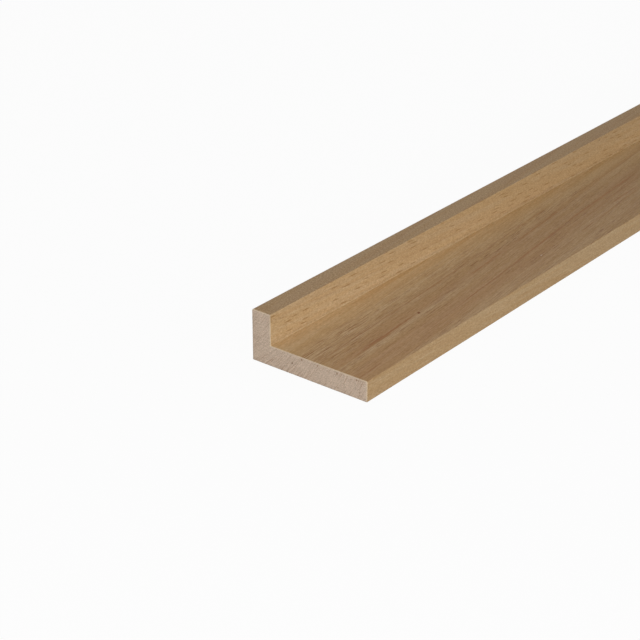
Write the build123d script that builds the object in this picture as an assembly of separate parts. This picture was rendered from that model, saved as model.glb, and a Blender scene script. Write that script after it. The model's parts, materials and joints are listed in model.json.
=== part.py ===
from build123d import *
import os

# Rebated moulding: one machined length of light hardwood with an L-shaped section.
# A low ledge and a taller upstand leave a rebate along the inner side, for a panel or pane.
# Units are millimetres. X runs across the width from the back face to the front edge,
# Y runs along the length and Z is up. The origin is the middle of the underside.

# The length as sold, and the section's overall size
length = 1000.0
width = 38.0
height = 15.0

# What the rebate leaves of the section
ledge_thickness = 6.0
upstand_thickness = 6.2

# The upstand's outer top arris is rounded over, and the others are only eased
round_over_radius = 0.5
eased_arris_radius = 0.15

# The cutter's corner inside the rebate
rebate_corner_radius = 0.3


def section_corners():
    # Round the L from the heel of the back face, each corner with the radius that softens it
    back = -width / 2
    front = width / 2
    wall = back + upstand_thickness
    return [
        ((back, 0), eased_arris_radius),
        ((front, 0), eased_arris_radius),
        ((front, ledge_thickness), eased_arris_radius),
        ((wall, ledge_thickness), rebate_corner_radius),
        ((wall, height), eased_arris_radius),
        ((back, height), round_over_radius),
    ]


def moulding_section():
    corners = section_corners()
    outline = Polyline(*[point for point, radius in corners], close=True)
    section = make_face(outline)
    for point, radius in corners:
        corner = section.vertices().sort_by_distance(point)[0]
        section = fillet(corner, radius)
    return section


def moulding():
    # The ends are sawn square, half the length each side of the origin
    return extrude(Plane.XZ * moulding_section(), amount=length / 2, both=True)


os.makedirs("parts", exist_ok=True)
export_step(moulding(), "parts/moulding.step")
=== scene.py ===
import json
import math

import bmesh
import bpy
from mathutils import Matrix, Vector, noise


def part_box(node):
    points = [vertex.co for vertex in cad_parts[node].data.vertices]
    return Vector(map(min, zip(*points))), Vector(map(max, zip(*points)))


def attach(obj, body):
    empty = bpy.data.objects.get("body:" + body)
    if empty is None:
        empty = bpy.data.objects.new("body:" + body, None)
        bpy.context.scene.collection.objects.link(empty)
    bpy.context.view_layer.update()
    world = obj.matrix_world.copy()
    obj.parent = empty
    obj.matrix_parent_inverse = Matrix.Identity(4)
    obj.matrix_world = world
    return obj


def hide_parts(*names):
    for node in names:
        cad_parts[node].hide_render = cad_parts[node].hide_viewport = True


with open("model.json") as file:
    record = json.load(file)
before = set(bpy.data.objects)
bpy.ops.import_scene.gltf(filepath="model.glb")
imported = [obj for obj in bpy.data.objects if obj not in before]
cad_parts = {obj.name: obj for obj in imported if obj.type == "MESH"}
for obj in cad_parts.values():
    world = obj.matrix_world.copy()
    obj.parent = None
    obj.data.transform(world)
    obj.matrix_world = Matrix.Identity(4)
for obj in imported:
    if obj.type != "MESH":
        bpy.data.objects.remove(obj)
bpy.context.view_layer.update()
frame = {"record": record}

mm = 0.001

# The sizes come from the frame: the node's box, and the two faces of the rebate
low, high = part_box("moulding")
mounts = {mount["name"]: mount["pos_m"] for mount in frame["record"]["mounts"]}
length = high[1] - low[1]
width = high[0] - low[0]
height = high[2] - low[2]
ledgeTop = mounts["rebate_seat"][2] - low[2]
upstand = mounts["rebate_wall"][0] - low[0]
print("frame: %.0f x %.0f x %.0f mm" % (length / mm, width / mm, height / mm))


def addObject(name, data):
    made = bpy.data.objects.new(name, data)
    bpy.context.scene.collection.objects.link(made)
    return made


# Shader helpers

class Wire:
    # wraps one socket, so that shader maths is written as plain expressions
    def __init__(self, shader, socket):
        self.shader = shader
        self.socket = socket

    def maths(self, operation, *values):
        return self.shader.node("Math", {"operation": operation}, dict(enumerate(values)))

    def __add__(self, other):
        return self.maths("ADD", self, other)

    __radd__ = __add__

    def __sub__(self, other):
        return self.maths("SUBTRACT", self, other)

    def __rsub__(self, other):
        return self.maths("SUBTRACT", other, self)

    def __mul__(self, other):
        return self.maths("MULTIPLY", self, other)

    __rmul__ = __mul__

    def __truediv__(self, other):
        return self.maths("DIVIDE", self, other)

    def __pow__(self, other):
        return self.maths("POWER", self, other)

    def __gt__(self, other):
        return self.maths("GREATER_THAN", self, other)

    def __lt__(self, other):
        return self.maths("LESS_THAN", self, other)

    def __abs__(self):
        return self.maths("ABSOLUTE", self)

    def more(self, other):
        return self.maths("MAXIMUM", self, other)

    def less(self, other):
        return self.maths("MINIMUM", self, other)


class Shader:
    def __init__(self, owner):
        owner.use_nodes = True
        self.tree = owner.node_tree
        self.tree.nodes.clear()

    def node(self, kind, settings=None, sockets=None, out=0):
        made = self.tree.nodes.new("ShaderNode" + kind)
        for name, value in (settings or {}).items():
            if name == "stops":
                self.setStops(made.color_ramp.elements, value)
            else:
                setattr(made, name, value)
        for name, value in (sockets or {}).items():
            if isinstance(value, Wire):
                self.tree.links.new(value.socket, made.inputs[name])
            else:
                made.inputs[name].default_value = value
        if not made.outputs:
            return None
        if isinstance(out, tuple):
            return [Wire(self, made.outputs[name]) for name in out]
        return Wire(self, made.outputs[out])

    def setStops(self, elements, stops):
        for place, amount in stops[1:-1]:
            elements.new(place).color = (amount, amount, amount, 1)
        for element, (place, amount) in ((elements[0], stops[0]), (elements[-1], stops[-1])):
            element.position = place
            element.color = (amount, amount, amount, 1)

    def split(self, vector):
        return self.node("SeparateXYZ", {}, {"Vector": vector}, ("X", "Y", "Z"))

    def noise(self, x, y, z, detail=2.0, roughness=0.5):
        at = self.node("CombineXYZ", {}, {"X": x, "Y": y, "Z": z})
        values = {"Vector": at, "Scale": 1.0, "Detail": detail, "Roughness": roughness}
        return self.node("TexNoise", {}, values)

    def rise(self, value, start, end):       # 0 up to start, 1 from end on, smooth between
        settings = {"interpolation_type": "SMOOTHSTEP"}
        return self.node("MapRange", settings, {"Value": value, "From Min": start, "From Max": end})

    def ramp(self, value, stops, reach):      # stops are places from 0 to the reach, and amounts
        stops = [(place / reach, amount) for place, amount in stops]
        return self.node("ValToRGB", {"stops": stops}, {"Fac": value / reach})

    def blend(self, factor, first, second, mode="MIX"):
        settings = {"data_type": "RGBA", "blend_type": mode}
        return self.node("Mix", settings, {0: factor, 6: first, 7: second}, 2)

    def scale(self, colour, amount):
        return self.node("VectorMath", {"operation": "SCALE"}, {"Vector": colour, "Scale": amount})


# The moulding's mesh: the section with its soft arrises, carried along the length

shape = {
    "roundOver": 0.5,          # mm, the upstand's outer top arris
    "easedArris": 0.15,        # mm, the other outer arrises
    "smallestArris": 0.04,     # mm
    "rebateCorner": 0.3,       # mm, left by the cutter
    "arrisSway": 0.4,          # share that sanding varies an arris by
    "swayStep": 35.0,          # mm of length for one change
    "arcSteps": 6,
    "flatStep": 4.0,           # mm, about how wide a strip of a flat is
    "stationStep": 4.0,        # mm between stations along the length
    "endBreak": 0.06,          # mm, fibres broken away round a sawn end
    "endBreakSway": 0.8,       # share that this varies by
    "endBreakStep": 0.7,       # mm
    "bakeRows": 3,             # stretches of the length, one above the other in the bake map
    "bakeGap": 0.006,
    "bakeEnds": 0.12,          # share of the bake map's height kept for the two ends
}


def sectionCorners(scale, inset):
    # the L's corners from the heel of the front edge round to the heel of the back face
    eased = max(shape["easedArris"] * scale * mm - inset, shape["smallestArris"] * mm)
    return [
        (Vector((width - inset, inset)), eased),
        (Vector((width - inset, ledgeTop - inset)), eased),
        (Vector((upstand - inset, ledgeTop - inset)), shape["rebateCorner"] * mm + inset),
        (Vector((upstand - inset, height - inset)), eased),
        (Vector((inset, height - inset)), shape["roundOver"] * mm - inset),
        (Vector((inset, inset)), eased),
    ]


def sectionOutline(scale=1.0, inset=0.0):
    # points round the section, from the middle of the underside and back to it
    middle = Vector((width / 2, inset))
    corners = sectionCorners(scale, inset)
    stops = [middle] + [corner for corner, radius in corners] + [middle]
    strips = flatStrips()
    outline = []
    last = middle
    for (corner, radius), before, after, count in zip(corners, stops, stops[2:], strips):
        into = (corner - before).normalized()
        away = (after - corner).normalized()
        turn = into.cross(away)              # 1 at an outer corner, -1 in the rebate
        start = corner - into * radius
        outline += [last.lerp(start, strip / count) for strip in range(count)]
        hub = start + Vector((-into.y, into.x)) * radius * turn
        for step in range(shape["arcSteps"]):
            swing = Matrix.Rotation(turn * math.pi / 2 * step / shape["arcSteps"], 2)
            outline.append(hub + swing @ (start - hub))
        last = corner + away * radius
    return outline + [last.lerp(middle, strip / strips[-1]) for strip in range(strips[-1])]


def flatStrips():
    # how many strips each flat has, the same in every ring
    middle = Vector((width / 2, 0))
    stops = [middle] + [corner for corner, radius in sectionCorners(1, 0)] + [middle]
    step = shape["flatStep"] * mm
    return [max(1, round((after - before).length / step)) for before, after in zip(stops, stops[1:])]


def stationPlaces():
    # distances from the near end, with one station at each border of a bake row
    rowLength = length / shape["bakeRows"]
    steps = round(rowLength / (shape["stationStep"] * mm))
    places = [rowLength * (row + step / steps) for row in range(shape["bakeRows"]) for step in range(steps)]
    return [shape["endBreak"] * mm] + places[1:] + [length - shape["endBreak"] * mm]


def addStations(mesh):
    # rings of vertices along the length, the first and last of them round the flat of a sawn end
    rings = []
    places = stationPlaces()
    endRing = sectionOutline(1.0, shape["endBreak"] * mm)
    rings.append([mesh.verts.new((low[0] + p.x, low[1], low[2] + p.y)) for p in endRing])
    for place in places:
        sway = noise.noise(Vector((place / (shape["swayStep"] * mm), 0, 0)))
        ring = []
        for p in sectionOutline(1 + shape["arrisSway"] * sway):
            along = place
            if place in (places[0], places[-1]):
                along += endFray(p, place) * (1 if place == places[0] else -1)
            ring.append(mesh.verts.new((low[0] + p.x, low[1] + along, low[2] + p.y)))
        rings.append(ring)
    rings.append([mesh.verts.new((low[0] + p.x, high[1], low[2] + p.y)) for p in endRing])
    return rings


def endFray(point, place):
    # the break round a sawn end is deeper in some places than in others
    step = shape["endBreakStep"] * mm
    rough = noise.noise(Vector((point.x / step, point.y / step, place / step)))
    return shape["endBreak"] * mm * shape["endBreakSway"] * rough


def addFaces(mesh, rings):
    bakeMap = mesh.loops.layers.uv.new("OFBake")
    around = [0.0]
    outline = sectionOutline()
    for here, after in zip(outline, outline[1:] + outline[:1]):
        around.append(around[-1] + (after - here).length)
    for station in range(len(rings) - 1):
        atEnd = station in (0, len(rings) - 2)
        for side in range(len(outline)):
            nextSide = (side + 1) % len(outline)
            corners = [rings[station][side], rings[station][nextSide],
                       rings[station + 1][nextSide], rings[station + 1][side]]
            face = mesh.faces.new(corners)
            face.smooth = not atEnd
            spots = [around[side], around[side + 1], around[side + 1], around[side]]
            middle = (corners[0].co.y + corners[2].co.y) / 2 - low[1]
            for loop, spot in zip(face.loops, spots):
                loop[bakeMap].uv = endSpot(loop.vert.co) if atEnd else sideSpot(loop.vert.co, spot, middle)
    for ring in (rings[0][::-1], rings[-1]):
        face = mesh.faces.new(ring)
        for loop in face.loops:
            loop[bakeMap].uv = endSpot(loop.vert.co)


def sideSpot(point, spot, middle):
    # where a point of the sides lies in the bake map
    rowLength = length / shape["bakeRows"]
    row = int(middle / rowLength)
    gap = shape["bakeGap"]
    rowHeight = (1 - shape["bakeEnds"]) / shape["bakeRows"]
    around = 2 * (width + height)
    u = gap + (point.y - low[1] - row * rowLength) / rowLength * (1 - 2 * gap)
    v = rowHeight * row + gap + spot / around * (rowHeight - gap)
    return u, v


def endSpot(point):
    gap = shape["bakeGap"]
    scale = (shape["bakeEnds"] - 2 * gap) / height
    shift = gap if point.y < (low[1] + high[1]) / 2 else 2 * gap + width * scale
    return shift + (point.x - low[0]) * scale, 1 - shape["bakeEnds"] + gap + (point.z - low[2]) * scale


def makeMoulding():
    mesh = bmesh.new()
    rings = addStations(mesh)
    addFaces(mesh, rings)
    for edge in mesh.edges:
        edge.smooth = all(face.smooth for face in edge.link_faces)
    bmesh.ops.recalc_face_normals(mesh, faces=mesh.faces)
    data = bpy.data.meshes.new("planed_moulding")
    mesh.to_mesh(data)
    mesh.free()
    piece = addObject("planed_moulding", data)
    even = piece.modifiers.new("flat_faces_stay_flat", "WEIGHTED_NORMAL")
    even.keep_sharp = True
    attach(piece, "root")
    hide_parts("moulding")
    print("moulding: %d faces" % len(data.polygons))
    return piece


# The wood. Distances in the shader are millimetres, from the near end's lower back corner.
# A name ending in Rise holds where a noise begins to show and where it shows in full,
# and one ending in Faces holds a share for all faces and what some of them add to it

wood = {
    "tan": (0.425, 0.281, 0.141, 1),
    "grey": (0.435, 0.302, 0.168, 1),
    "russet": (0.36, 0.205, 0.098, 1),
    "streakTone": (0.5, 0.375, 0.235, 1),  # the palest streaks, partly painted sheen
    "lineTone": (0.215, 0.09, 0.028, 1),
    "drawnTone": (0.26, 0.1, 0.027, 1),
    "fleckTone": (0.27, 0.145, 0.045, 1),
    "toneSpread": (1.0, 1.2, 1.7),         # how much of a change of tone red, green and blue each take

    # the cast of each face: painted light and shade for how light falls on it, partly the wood's own figure
    # on each cut
    "ledgeInner": (1.2, 1.21, 1.2, 1),     # painted bounce light beside the rebate's wall
    "ledgeOuter": (0.885, 0.815, 0.735, 1),
    "ledgeChange": 15.0,                   # mm from the wall, over which the painted bounce light becomes the outer tone
    "ledgeNear": 1.045,                    # painted light at the near end
    "ledgeFade": 0.085,                    # how much of that painted light falls off further on
    "ledgeFadeReach": (10, 150),           # mm along
    # painted light on the wall, more towards its foot
    "wallTop": (1.05, 1.045, 1.02, 1),
    "wallFoot": (1.12, 1.125, 1.135, 1),
    "topTone": (0.84, 0.81, 0.78, 1),
    "frontTone": (0.905, 0.885, 0.825, 1),
    "footTone": (1.0, 0.97, 0.9, 1),       # painted warm bounce light from the wall on the ledge's first millimetres
    "footWidth": (0.3, 5.0),               # mm
    "creaseTone": 0.9,                     # painted shade where wall and ledge meet
    "creaseWidth": (0.6, 1.4),             # mm up the wall
    "creaseNarrow": 2.2,                   # how much narrower it is on the ledge

    # painted light falloff along the whole length, from the near end
    "nearTone": (1.025, 1.025, 1.025, 1),
    "farTone": (0.89, 0.875, 0.835, 1),
    "toneChange": [(0, 0), (30, 0), (110, 0.4), (175, 1), (320, 0.3)],   # mm along, and share
    "slowNoise": (40, 130),                # mm across and along
    "slowReach": (150, 300),               # mm along, where it begins and is full
    "slowDepth": 0.3,

    # the tree: where the section lies in it, and how its grain runs
    "pithAcross": -34.0,                   # mm, outside the section
    "pithUp": 41.0,
    "ringStep": 5.6,                       # mm between year rings
    "firstRing": 60.3,
    "ringWander": (14, 60),                # mm across and along
    "ringWanderDepth": 2.2,                # mm
    "ringLine": (0.06, 0.26),              # mm, half the width of its dark core and of its soft edge
    "ringBreak": (1.3, 12),                # breaks per ring, and mm along for one
    "ringBreakRise": (0.42, 0.62),
    "ringFaint": 0.8,                      # how much fainter beside the drawn lines
    "ringDepth": 0.3,
    "ringFaces": {"all": 1.0, "upright": -0.5},
    "lateDepth": 0.12,
    "lean": 0.062,                         # how far the grain runs off the length, on the flats
    "sway": 4.0,                           # mm, its slow bend
    "swayLength": 600.0,
    "wallLean": 0.05,                      # the lean on the upright faces
    "calm": (3, 9),                        # mm from the wall, within which dashes are few

    # dashes, hairs, flecks and streaks
    "dashRise": (0.06, 0.16),
    "dashFaces": {"all": 0.15, "broad": 0.85},
    "dashDepth": 0.8,
    "patch": (5, 30),                      # mm across and along, where dashes stand together
    "patchRise": (0.3, 0.64),
    "patchRusset": 0.7,                    # how many fewer dashes a russet band has
    "patchHairs": 0.5,                     # how many fewer hairs there are among dashes
    "calmDashes": 0.8,                     # and how many fewer of both beside the wall
    "calmHairs": 0.7,
    "hairRise": (0.08, 0.2),
    "hairFaces": {"all": 0.2, "broad": 0.8, "top": 0.4},
    "hairDepth": 0.42,
    "fleck": (1.2, 11.0),                  # mm across and along
    "fleckSize": (0.09, 0.1),              # share of a cell, and how much some have more
    "fleckEdge": (0.5, 1.15),              # shares of its size, where a fleck is full and gone
    "fleckChance": (0.25, 0.55),           # cells below this have none
    "fleckFaces": {"all": 0.05, "upright": 0.95, "front": -0.7},
    "fleckDepth": 0.75,
    "greyRise": (-0.12, 0.16),
    "greyDepth": 0.8,
    "bandGrey": 1.4,                       # how much slow bands of grain take part in it
    "warm": (5, 70, 9),                    # mm across, along and up
    "warmRise": (0.46, 0.72),
    "warmFaces": {"all": 0.12, "broad": 0.15},
    "streakRise": (-0.04, 0.2),
    "streakLeast": 0.25,
    "frontStreakRise": (-0.05, -0.2),
    "frontStreak": 0.8,
    "streakDepth": 0.6,

    # the ledge's drawn lines and bands
    "waveStep": 11,                        # mm along
    "lineWave": 0.9,                       # mm
    "lineBreak": (0.7, 2.8),               # mm across and along
    "lineBreakRise": (0.22, 0.5),
    "lineEdge": (0.3, 1.9),                # shares of half the width, where a line is full and gone
    "linesEnd": (130, 170),                # mm along, from where the year rings take over
    "drawnDepth": 0.85,
    "bandWave": 1.4,                       # mm
    "bandReach": 42,                       # mm across
    "bandFade": (35, 85),                  # mm along
    "bandFadeWidth": 30,                   # mm from the wall
    "bandFadeDepth": 0.65,
    "bandRusset": 0.5,

    # the surface
    "roughness": 0.62,
    "reliefRoughness": 0.2,
    "endRoughness": 0.2,                   # how much rougher a sawn end is
    "bumpStrength": 0.6,
    "bumpHeight": 0.06,                    # mm
    "gloss": 0.3,
}

# the noises of the grain: mm across and along, which stretch adds to on broad faces,
# and how much they change the tone, by face
grains = {
    "grit": {"size": (0.3, 0.7), "stretch": 0.6, "depth": 0.66,
             "faces": {"all": 1.0, "top": 0.75, "broad": -0.17}},
    "mottle": {"size": (0.6, 1.3), "detail": 2.0, "roughness": 0.6, "depth": 0.22,
               "faces": {"all": 1.0, "broad": -0.6}},
    "fibre": {"size": (0.42, 5.5), "detail": 3.0, "roughness": 0.6, "depth": 0.28,
              "faces": {"all": 0.1, "broad": 0.9, "top": 0.25, "calm": -0.4}},
    "band": {"size": (1.4, 70), "roughness": 0.55, "shift": 31, "depth": 0.16,
             "faces": {"all": 0.2, "broad": 0.8}},
    "dash": {"size": (0.22, 6.5), "shift": 7},
    "strand": {"size": (0.24, 14), "shift": 3, "depth": -0.24, "faces": {"all": 0.0, "broad": 1.0}},
}

# how much each stands out of the surface
relief = {"mottle": 0.2, "grit": 0.25, "fibre": 0.3, "fleck": -0.3, "dash": -0.5, "drawn": -0.3}

# grain lines measured on the ledge: along and from the wall at each end, half width, strength
grainLines = [
    ((0, 9.3), (75, 4.4), 0.14, 0.3),
    ((75, 4.4), (112, 2.6), 0.14, 0.25),
    ((0, 15.6), (31, 13.6), 0.17, 0.7),
    ((27, 13.9), (76, 10.7), 0.17, 0.65),
    ((70, 10.9), (126, 6.7), 0.17, 0.5),
    ((11, 20.5), (40, 18.7), 0.28, 0.95),
    ((7, 21.1), (29, 20.0), 0.3, 0.8),
    ((67, 16.0), (86, 14.9), 0.26, 0.7),
    ((79, 14.7), (90, 14.3), 0.24, 0.8),
    ((95, 13.9), (129, 10.5), 0.22, 0.5),
    ((-4, 29.2), (13, 28.2), 0.22, 0.7),
    ((30, 27.0), (58, 24.3), 0.16, 0.45),
    ((51, 24.7), (83, 21.8), 0.2, 0.75),
    ((79, 22.1), (118, 18.0), 0.34, 0.7),
    ((118, 17.7), (165, 13.9), 0.3, 0.6),
    ((113, 24.8), (165, 20.6), 0.2, 0.35),
    ((138, 20.9), (160, 19.6), 0.26, 0.6),
    ((77, 28.6), (92, 26.9), 0.16, 0.3),
    ((52, 12.6), (66, 11.8), 0.12, 0.45),
    ((3, 24.6), (20, 23.4), 0.14, 0.35),
]

# bands along the ledge's grain, the pale ones partly painted sheen: mm from the wall at the near end, and
# how strong
paleSheenBands = [
    (0, 0), (9.5, 0), (11.5, 0.8), (15, 0.8), (17.5, 0), (21.8, 0), (22.7, 0.9), (23.6, 0.9),
    (24.6, 0), (32, 0), (35, 0.5), (42, 0.5),
]
russetBands = [
    (0, 0), (19, 0), (20.4, 0.6), (21.4, 0.6), (22.2, 0), (24.4, 0), (26.5, 0.8), (30, 0.8),
    (33, 0), (42, 0),
]

# single marks: face, across or up, along or up, half sizes, strength, tone
marks = [
    ("ledge", 25.15, 40.1, 0.46, 0.5, 1.0, (0.14, 0.025, 0.002, 1)),
    ("ledge", 30.8, 93.2, 0.22, 0.42, 0.8, (0.62, 0.52, 0.4, 1)),
    ("upright", 14.1, 166.4, 0.22, 0.4, 0.8, (0.1, 0.05, 0.02, 1)),
    ("cut", 13.5, 3.3, 0.27, 0.27, 0.9, (0.12, 0.06, 0.025, 1)),
    ("cut", 16.7, 5.3, 0.22, 0.45, 0.75, (0.2, 0.1, 0.045, 1)),
    ("cut", 21.9, 5.2, 0.2, 0.22, 0.75, (0.2, 0.1, 0.045, 1)),
    ("cut", 28.3, 5.1, 0.25, 0.4, 0.8, (0.2, 0.1, 0.045, 1)),
    ("cut", 34.6, 5.3, 0.25, 0.3, 0.75, (0.2, 0.1, 0.045, 1)),
    ("cut", 28.6, 1.1, 0.2, 0.2, 0.75, (0.2, 0.1, 0.045, 1)),
    ("cut", 35.5, 1.9, 0.2, 0.3, 0.6, (0.2, 0.1, 0.045, 1)),
]
markEdge = (0.5, 1.2)          # shares of its half sizes, where a mark is full and gone

sawnEnd = {
    "ground": (0.5, 0.388, 0.297),
    "dark": (0.29, 0.18, 0.115, 1),
    "speckle": 0.3,            # mm
    "speckleDepth": 1.45,
    "arcs": (0.45, 3.0),       # mm between them, and along one
    "arcDepth": 0.5,
    "arcRelief": 0.6,
    "threads": (0.21, 8.0),    # thin dark lines along the arcs
    "threadRise": (0.58, 0.68),
    "threadDepth": 0.62,
    "rays": (0.5, 2.4),
    "rayDepth": 0.35,
    "pore": 0.38,              # mm
    "poreRise": (0.63, 0.74),
    "poreRelief": 0.5,
    "poreDepth": 0.22,
    "poreTop": 0.38,           # how much more there is below the ledge's top
    "poreTopReach": (0.4, 2.2),            # mm
    "ringDepth": 0.2,
    # painted highlight along the sawn end's upper and front edges, with pale torn fibres
    "rim": (0.62, 0.5, 0.35, 1),
    "rimWidth": (0.2, 0.42),   # mm
    "rimStep": 1.1,            # mm, how unevenly it shows
    "rimRise": (0.3, 0.6),
    "rimLeast": 0.4,
    "rimDepth": 0.85,
    "rimShade": 0.09,          # painted shade along the back and the underside
    "rimShadeWidth": (0.15, 0.6),          # mm
}


def partsOfPlace(s):
    # where a point is, and which kind of face it lies on
    place, facing = s.node("TexCoord", {}, {}, ("Object", "Normal"))
    x, y, z = s.split(place)
    faceX, faceY = s.split(facing)[:2]
    at = {"across": (x - low[0]) / mm, "along": (y - low[1]) / mm, "up": (z - low[2]) / mm}
    at["upright"] = abs(faceX) > 0.7
    at["cut"] = abs(faceY) > 0.6
    flat = (1 - at["upright"]) * (1 - at["cut"])
    raised = at["up"] > (ledgeTop + height) / 2 / mm
    at["top"] = flat * raised
    at["broad"] = flat * (1 - raised)
    at["ledge"] = at["broad"] * (at["up"] > ledgeTop / 2 / mm)
    at["front"] = at["upright"] * (at["across"] > width / 2 / mm)
    at["fromWall"] = at["across"] - upstand / mm

    # the grain leans a little off the length, its own way on flats and on upright faces
    swing = at["along"] * (2 * math.pi / wood["swayLength"])
    drift = at["along"] * wood["lean"] + (1 - swing.maths("COSINE", swing)) * wood["sway"]
    at["grainX"] = at["across"] + drift * (1 - at["upright"])
    at["grainZ"] = at["up"] + at["along"] * at["upright"] * wood["wallLean"]
    at["calm"] = (1 - s.rise(at["fromWall"], *wood["calm"])) * at["ledge"]
    return at


def onFaces(at, shares):
    # a share that differs from face to face
    total = shares["all"]
    for face, share in shares.items():
        if face != "all":
            total = at[face] * share + total
    return total


def grainNoise(s, at, grain):
    # noise drawn out along the grain, about nought
    wide, long = grain["size"]
    if "stretch" in grain:
        long = at["broad"] * grain["stretch"] + long
    across = at["grainX"] / wide + grain.get("shift", 0)
    detail = grain.get("detail", 1.0)
    field = s.noise(across, at["along"] / long, at["grainZ"] / wide, detail, grain.get("roughness", 0.5))
    return field - 0.5


def yearRings(s, at):
    wide, long = wood["ringWander"]
    wander = s.noise(at["grainX"] / wide, at["along"] / long, at["grainZ"] / wide, 2.0) - 0.5
    fromPithX = at["grainX"] - wood["pithAcross"]
    fromPithZ = at["grainZ"] - wood["pithUp"]
    radius = (fromPithX * fromPithX + fromPithZ * fromPithZ) ** 0.5 + wander * wood["ringWanderDepth"]
    bearing = fromPithZ.maths("ARCTAN2", fromPithZ, fromPithX) * radius
    ring = (radius - wood["firstRing"]) / wood["ringStep"]
    toLine = ring.maths("PINGPONG", ring, 0.5) * wood["ringStep"]
    perRing, long = wood["ringBreak"]
    broken = s.noise(ring * perRing, at["along"] / long, 0.0, 3.0)
    broken = s.rise(broken, *wood["ringBreakRise"])
    further = s.rise(at["along"], *wood["linesEnd"]) * at["ledge"]
    broken = broken * (1 - at["ledge"] * wood["ringFaint"] + further * wood["ringFaint"])
    line = (1 - s.rise(toLine, *wood["ringLine"])) * broken
    late = ring.maths("FRACT", ring) ** 3
    return {"radius": radius, "bearing": bearing, "line": line, "late": late}


def drawnLines(s, at):
    # the ledge's measured grain lines, a little wavy and broken up
    wave = (s.noise(at["along"] / wood["waveStep"], 0.0, 0.0, 2.0) - 0.5) * wood["lineWave"]
    place = at["fromWall"] + wave
    full, gone = wood["lineEdge"]
    total = at["along"] * 0
    for (first, firstOff), (last, lastOff), half, strength in grainLines:
        slope = (lastOff - firstOff) / (last - first)
        off = abs(place - at["along"] * slope - (firstOff - slope * first))
        fade = min(5 + half * 4, (last - first) / 2)
        ends = s.rise(at["along"], first, first + fade) * (1 - s.rise(at["along"], last - fade, last))
        total = total.more((1 - s.rise(off, half * full, half * gone)) * ends * strength)
    wide, long = wood["lineBreak"]
    breaks = s.noise(at["grainX"] / wide, at["along"] / long, 0.0, 2.0)
    return total * at["ledge"] * s.rise(breaks, *wood["lineBreakRise"])


def rayFlecks(s, at):
    # spindles where the rays end, many on the upright faces
    wide, long = wood["fleck"]
    side = at["grainX"] * (1 - at["upright"]) + (at["grainZ"] + 90) * at["upright"]
    cell = s.node("CombineXYZ", {}, {"X": side / wide, "Y": at["along"] / long})
    settings = {"voronoi_dimensions": "2D"}
    spread, chance = s.node("TexVoronoi", settings, {"Vector": cell, "Scale": 1.0}, ("Distance", "Color"))
    chance = s.split(chance)[0]
    least, more = wood["fleckSize"]
    size = least + chance * more
    flecks = (1 - s.rise(spread / size, *wood["fleckEdge"])) * s.rise(chance, *wood["fleckChance"])
    return flecks * onFaces(at, wood["fleckFaces"])


def bandStrengths(s, at):
    # how pale, partly as painted sheen, and how russet the ledge is in its bands, which are fainter further
    # on
    wave = (s.noise(at["along"] / wood["waveStep"], 2.0, 0.0, 2.0) - 0.5) * wood["bandWave"]
    across = at["grainX"] - upstand / mm + wave
    fade = s.rise(at["along"], *wood["bandFade"]) * (across < wood["bandFadeWidth"])
    soften = (1 - fade * wood["bandFadeDepth"]) * at["ledge"]
    return [s.ramp(across, bands, wood["bandReach"]) * soften for bands in (paleSheenBands, russetBands)]


def grainFields(s, at):
    # all that the grain is made of
    paleBand, russetBand = bandStrengths(s, at)
    fields = {name: grainNoise(s, at, grain) for name, grain in grains.items()}
    dash = s.rise(fields["dash"], *wood["dashRise"])
    hair = s.rise(fields["strand"], *wood["hairRise"])
    wide, long = wood["patch"]
    patch = s.noise(at["grainX"] / wide, at["along"] / long, at["grainZ"] / wide, 1.0)
    patch = s.rise(patch, *wood["patchRise"]) * (1 - russetBand * wood["patchRusset"])
    patch = patch.more(paleBand) * (1 - at["calm"] * wood["calmDashes"])
    fields["dash"] = dash * patch * onFaces(at, wood["dashFaces"])
    hair = hair * (1 - patch * wood["patchHairs"]) * (1 - at["calm"] * wood["calmHairs"])
    fields["hair"] = hair * onFaces(at, wood["hairFaces"])
    fields["fleck"] = rayFlecks(s, at)
    fields["drawn"] = drawnLines(s, at)
    fields["paleBand"], fields["russetBand"] = paleBand, russetBand
    return fields


def plainColour(s, at, rings, fields):
    # the wood's own colour, before its face's cast
    tone = 0.0
    for name, grain in grains.items():
        if "depth" in grain:
            tone = fields[name] * onFaces(at, grain["faces"]) * grain["depth"] + tone
    wide, long, tall = wood["warm"]
    warm = s.noise(at["grainX"] / wide + 17, at["along"] / long, at["grainZ"] / tall + 5, 2.0)
    pale = s.rise(fields["fibre"] + fields["band"] * wood["bandGrey"], *wood["greyRise"])
    colour = s.blend(pale * wood["greyDepth"], wood["tan"], wood["grey"])
    warmth = s.rise(warm, *wood["warmRise"]) * onFaces(at, wood["warmFaces"])
    for share in (warmth, rings["late"] * wood["lateDepth"], fields["russetBand"] * wood["bandRusset"]):
        colour = s.blend(share, colour, wood["russet"])
    streak = wood["streakLeast"] + s.rise(fields["fibre"] - fields["strand"], *wood["streakRise"])
    frontStreak = s.rise(fields["strand"], *wood["frontStreakRise"]) * at["front"] * wood["frontStreak"]
    # pale bands of the grain, their paleness partly painted sheen
    streak = fields["paleBand"] * streak + frontStreak
    colour = s.blend(streak * wood["streakDepth"], colour, wood["streakTone"])
    spread = {0: tone, 1: wood["toneSpread"], 2: (1, 1, 1)}
    shades = s.node("VectorMath", {"operation": "MULTIPLY_ADD"}, spread)
    colour = s.blend(1.0, colour, shades, "MULTIPLY")
    streaks = (fields["dash"] * wood["dashDepth"]).more(fields["hair"] * wood["hairDepth"])
    return s.blend(streaks, colour, wood["lineTone"])


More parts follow.
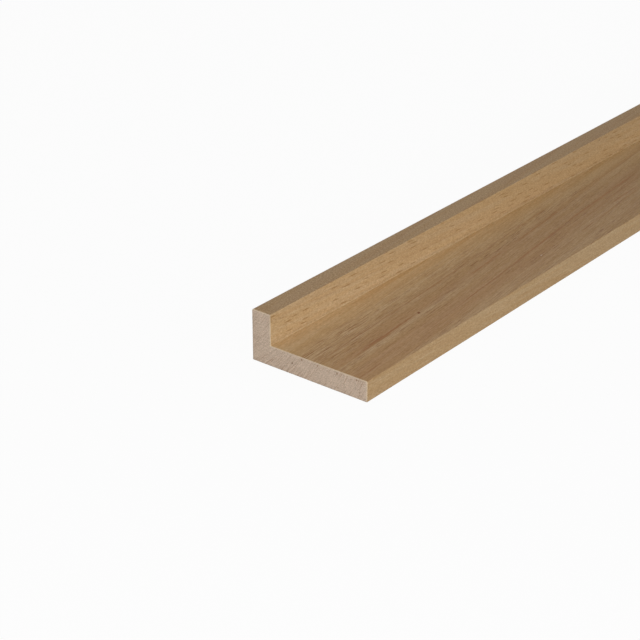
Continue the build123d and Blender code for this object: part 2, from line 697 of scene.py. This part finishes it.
def faceLightAndShade(s, at):
    # painted light and shade: paler beside the wall, darker on top and in front
    # painted bounce light from the wall, paler beside it on the ledge
    ledgeBounce = s.blend(s.rise(at["fromWall"], 0, wood["ledgeChange"]), wood["ledgeInner"], wood["ledgeOuter"])
    # painted light falloff: the ledge is paler at the near end
    further = s.rise(at["along"], *wood["ledgeFadeReach"])
    ledgeBounce = s.scale(ledgeBounce, wood["ledgeNear"] - further * wood["ledgeFade"])
    # painted light on the wall, more towards its foot
    wallFoot = s.rise(height / mm - at["up"], 1, (height - ledgeTop) / mm)
    wall = s.blend(wallFoot, wood["wallTop"], wood["wallFoot"])
    # painted shade in the crease where wall and ledge meet
    fromCrease = (abs(at["fromWall"]) * wood["creaseNarrow"]).more(at["up"] - ledgeTop / mm)
    creaseShadeMask = 1 - s.rise(fromCrease, *wood["creaseWidth"])
    paintedCast = s.scale(s.blend(at["ledge"], wall, ledgeBounce), 1 - creaseShadeMask * (1 - wood["creaseTone"]))
    # painted shade on the top and the front, partly the wood's own figure on these cuts
    paintedCast = s.blend(at["top"], paintedCast, wood["topTone"])
    return s.blend(at["front"], paintedCast, wood["frontTone"])


def sideColour(s, at, rings):
    fields = grainFields(s, at)
    colour = plainColour(s, at, rings, fields)
    colour = s.blend(1.0, colour, faceLightAndShade(s, at), "MULTIPLY")

    # painted light falloff along the length, slower random changes of tone, and painted warm bounce light
    # on the foot of the ledge
    further = s.ramp(at["along"], wood["toneChange"], length / mm)
    colour = s.blend(1.0, colour, s.blend(further, wood["nearTone"], wood["farTone"]), "MULTIPLY")
    wide, long = wood["slowNoise"]
    slow = s.noise(at["along"] / long, at["grainX"] / wide, at["grainZ"] / wide, 1.0) - 0.5
    colour = s.scale(colour, 1 + slow * s.rise(at["along"], *wood["slowReach"]) * wood["slowDepth"])
    # painted warm bounce light from the wall on the ledge's first millimetres
    footBounce = (1 - s.rise(at["fromWall"], *wood["footWidth"])) * at["ledge"]
    colour = s.blend(footBounce, colour, s.blend(1.0, colour, wood["footTone"], "MULTIPLY"))

    line = rings["line"] * onFaces(at, wood["ringFaces"])
    colour = s.blend(fields["fleck"] * wood["fleckDepth"], colour, wood["fleckTone"])
    colour = s.blend(line * wood["ringDepth"], colour, wood["lineTone"])
    colour = s.blend(fields["drawn"] * wood["drawnDepth"], colour, wood["drawnTone"])
    return colour, sum(fields[name] * share for name, share in relief.items())


def endColour(s, at, rings):
    grain = sawnEnd["speckle"]
    speckle = s.noise(at["across"] / grain, at["up"] / grain, at["along"], 2.0, 0.6) - 0.5
    wide, long = sawnEnd["arcs"]
    arcs = s.noise(rings["radius"] / wide, rings["bearing"] / long, 0.0, 2.0) - 0.5
    wide, long = sawnEnd["threads"]
    threads = s.noise(rings["radius"] / wide, rings["bearing"] / long, 6.0, 1.0)
    threads = s.rise(threads, *sawnEnd["threadRise"])
    wide, long = sawnEnd["rays"]
    rays = s.noise(rings["bearing"] / wide, rings["radius"] / long, 3.0, 1.0) - 0.5
    grain = sawnEnd["pore"]
    pores = s.noise(at["across"] / grain + 9, at["up"] / grain, at["along"], 1.0)
    pores = s.rise(pores, *sawnEnd["poreRise"])
    tone = 1 + speckle * sawnEnd["speckleDepth"] + arcs * sawnEnd["arcDepth"] + rays * sawnEnd["rayDepth"]
    colour = s.scale(sawnEnd["ground"], tone)
    nearTop = 1 - s.rise(ledgeTop / mm - at["up"], *sawnEnd["poreTopReach"])
    poreDepth = sawnEnd["poreDepth"] + nearTop * sawnEnd["poreTop"]
    shares = [threads * sawnEnd["threadDepth"], pores * poreDepth, rings["line"] * sawnEnd["ringDepth"]]
    for share in shares:
        colour = s.blend(share, colour, sawnEnd["dark"])

    # painted highlight, with pale torn fibres, on the rim that faces up or forwards, and painted shade on
    # the one below and behind
    corner = (upstand / mm - at["across"]).more(ledgeTop / mm - at["up"])
    shown = corner.less(width / mm - at["across"]).less(height / mm - at["up"])
    step = sawnEnd["rimStep"]
    uneven = s.noise(at["across"] / step, at["up"] / step, at["along"], 2.0)
    uneven = s.rise(uneven, *sawnEnd["rimRise"]) * (1 - sawnEnd["rimLeast"]) + sawnEnd["rimLeast"]
    rim = (1 - s.rise(shown, *sawnEnd["rimWidth"])) * uneven
    hidden = at["across"].less(at["up"])
    colour = s.blend(rim * sawnEnd["rimDepth"], colour, sawnEnd["rim"])
    shade = 1 - (1 - s.rise(hidden, *sawnEnd["rimShadeWidth"])) * sawnEnd["rimShade"]
    return s.scale(colour, shade), speckle + arcs * sawnEnd["arcRelief"] - pores * sawnEnd["poreRelief"]


def addMarks(s, at, skin):
    ways = {"ledge": ("across", "along"), "upright": ("up", "along"), "cut": ("across", "up")}
    for face, first, second, halfFirst, halfSecond, strength, markTone in marks:
        here = at[face]
        one, two = ways[face]
        one, two = (at[one] - first) / halfFirst, (at[two] - second) / halfSecond
        reach = (one * one + two * two) ** 0.5
        if face == "cut":
            here = here * (at["along"] < length / 2 / mm)
        skin = s.blend((1 - s.rise(reach, *markEdge)) * here * strength, skin, markTone)
    return skin


def makeWood():
    material = bpy.data.materials.new("planed_hardwood")
    s = Shader(material)
    at = partsOfPlace(s)
    rings = yearRings(s, at)
    side, sideRelief = sideColour(s, at, rings)
    end, endRelief = endColour(s, at, rings)
    cut = at["cut"]
    skin = addMarks(s, at, s.blend(cut, side, end))
    bump = s.node("Bump", {}, {
        "Strength": wood["bumpStrength"], "Distance": wood["bumpHeight"] * mm,
        "Height": sideRelief * (1 - cut) + endRelief * cut})
    rough = wood["roughness"] + sideRelief * wood["reliefRoughness"] + cut * wood["endRoughness"]
    surface = s.node("BsdfPrincipled", {}, {
        "Base Color": skin, "Roughness": rough, "Normal": bump, "IOR": 1.45,
        "Specular IOR Level": wood["gloss"]})
    s.node("OutputMaterial", {}, {"Surface": surface})
    print("wood: %d nodes" % len(s.tree.nodes))
    return material


# The studio: a pale floor, a plain sky and soft lamps

studio = {
    "floorSize": 60.0,                 # m
    "floorTone": (0.7, 0.7, 0.7, 1),
    "seenWhite": 0.95,                 # how much of its own white the floor shows over its lit tone
    "skyLight": 0.46,                  # light from all round
    "lamps": {                         # aim is the share of the length from the near end
        "side": {"aim": 0.5, "watts": 8.6, "size": (1.6, 0.5), "distance": 1.5, "turn": 90, "rise": 14},
        "over": {"aim": 0.7, "watts": 0.29, "size": (0.7, 0.3), "distance": 0.6, "turn": 90, "rise": 70},
        "near": {"aim": 0.0, "watts": 1.25, "size": (0.2, 0.2), "distance": 0.5, "turn": 28, "rise": 18},
    },
}


def seenShare(s):
    # 1 where a thing is looked at, straight, in a mirror or through glass, and 0 where it gives light
    camera, glossy, through = s.node(
        "LightPath", {}, {}, ("Is Camera Ray", "Is Glossy Ray", "Is Transmission Ray"))
    return (camera + glossy + through).less(1.0)


def makeFloor():
    half = studio["floorSize"] / 2
    data = bpy.data.meshes.new("studio_floor")
    corners = [(-half, -half, low[2]), (half, -half, low[2]), (half, half, low[2]), (-half, half, low[2])]
    data.from_pydata(corners, [], [range(len(corners))])
    floor = addObject("studio_floor", data)
    material = bpy.data.materials.new("studio_white")
    s = Shader(material)
    seen = seenShare(s)
    lit = s.node("BsdfDiffuse", {}, {"Color": studio["floorTone"]})
    white = s.node("Emission", {}, {"Color": (1, 1, 1, 1), "Strength": 1.0})
    mixed = s.node("MixShader", {}, {0: seen * studio["seenWhite"], 1: lit, 2: white})
    s.node("OutputMaterial", {}, {"Surface": mixed})
    data.materials.append(material)


def makeSky():
    world = bpy.data.worlds.new("studio_sky")
    bpy.context.scene.world = world
    s = Shader(world)
    seen = seenShare(s)
    light = s.node("Background", {}, {"Color": (1, 1, 1, 1), "Strength": studio["skyLight"]})
    white = s.node("Background", {}, {"Color": (1, 1, 1, 1), "Strength": 1.0})
    mixed = s.node("MixShader", {}, {0: seen, 1: light, 2: white})
    s.node("OutputWorld", {}, {"Surface": mixed})


def makeLamps():
    # softboxes aimed at places along the moulding, each turned from the length and raised from the floor
    for name, lamp in studio["lamps"].items():
        data = bpy.data.lights.new(name, "AREA")
        data.shape = "RECTANGLE"
        data.size, data.size_y = lamp["size"]
        data.energy = lamp["watts"]
        softbox = addObject(name, data)
        turn, rise = math.radians(lamp["turn"]), math.radians(lamp["rise"])
        way = Vector((math.sin(turn) * math.cos(rise), -math.cos(turn) * math.cos(rise), math.sin(rise)))
        softbox.location = Vector((0, low[1] + length * lamp["aim"], low[2])) + way * lamp["distance"]
        softbox.rotation_euler = way.to_track_quat("Z", "Y").to_euler()
        softbox.visible_camera = False


# The camera, placed from the near end's lower back corner in widths of the moulding

view = {
    "place": (7.2947, -8.4111, 5.8327),
    "pitch": 26.418,           # degrees down
    "yaw": 38.524,             # degrees from the length
    "focal": 1797.9,           # pixels, in a frame 640 wide
    "frame": 640,
    "sensor": 36.0,            # mm
}


def makeCamera():
    data = bpy.data.cameras.new("camera")
    data.sensor_width = view["sensor"]
    data.lens = view["sensor"] * view["focal"] / view["frame"]
    camera = addObject("camera", data)
    camera.location = Vector(low) + Vector(view["place"]) * width
    camera.rotation_euler = (math.radians(90 - view["pitch"]), 0, math.radians(view["yaw"]))
    bpy.context.scene.camera = camera


moulding = makeMoulding()
moulding.data.materials.append(makeWood())
makeFloor()
makeSky()
makeLamps()
makeCamera()
bpy.context.scene.view_settings.view_transform = "Standard"
print("studio: floor, sky, lamps and camera")
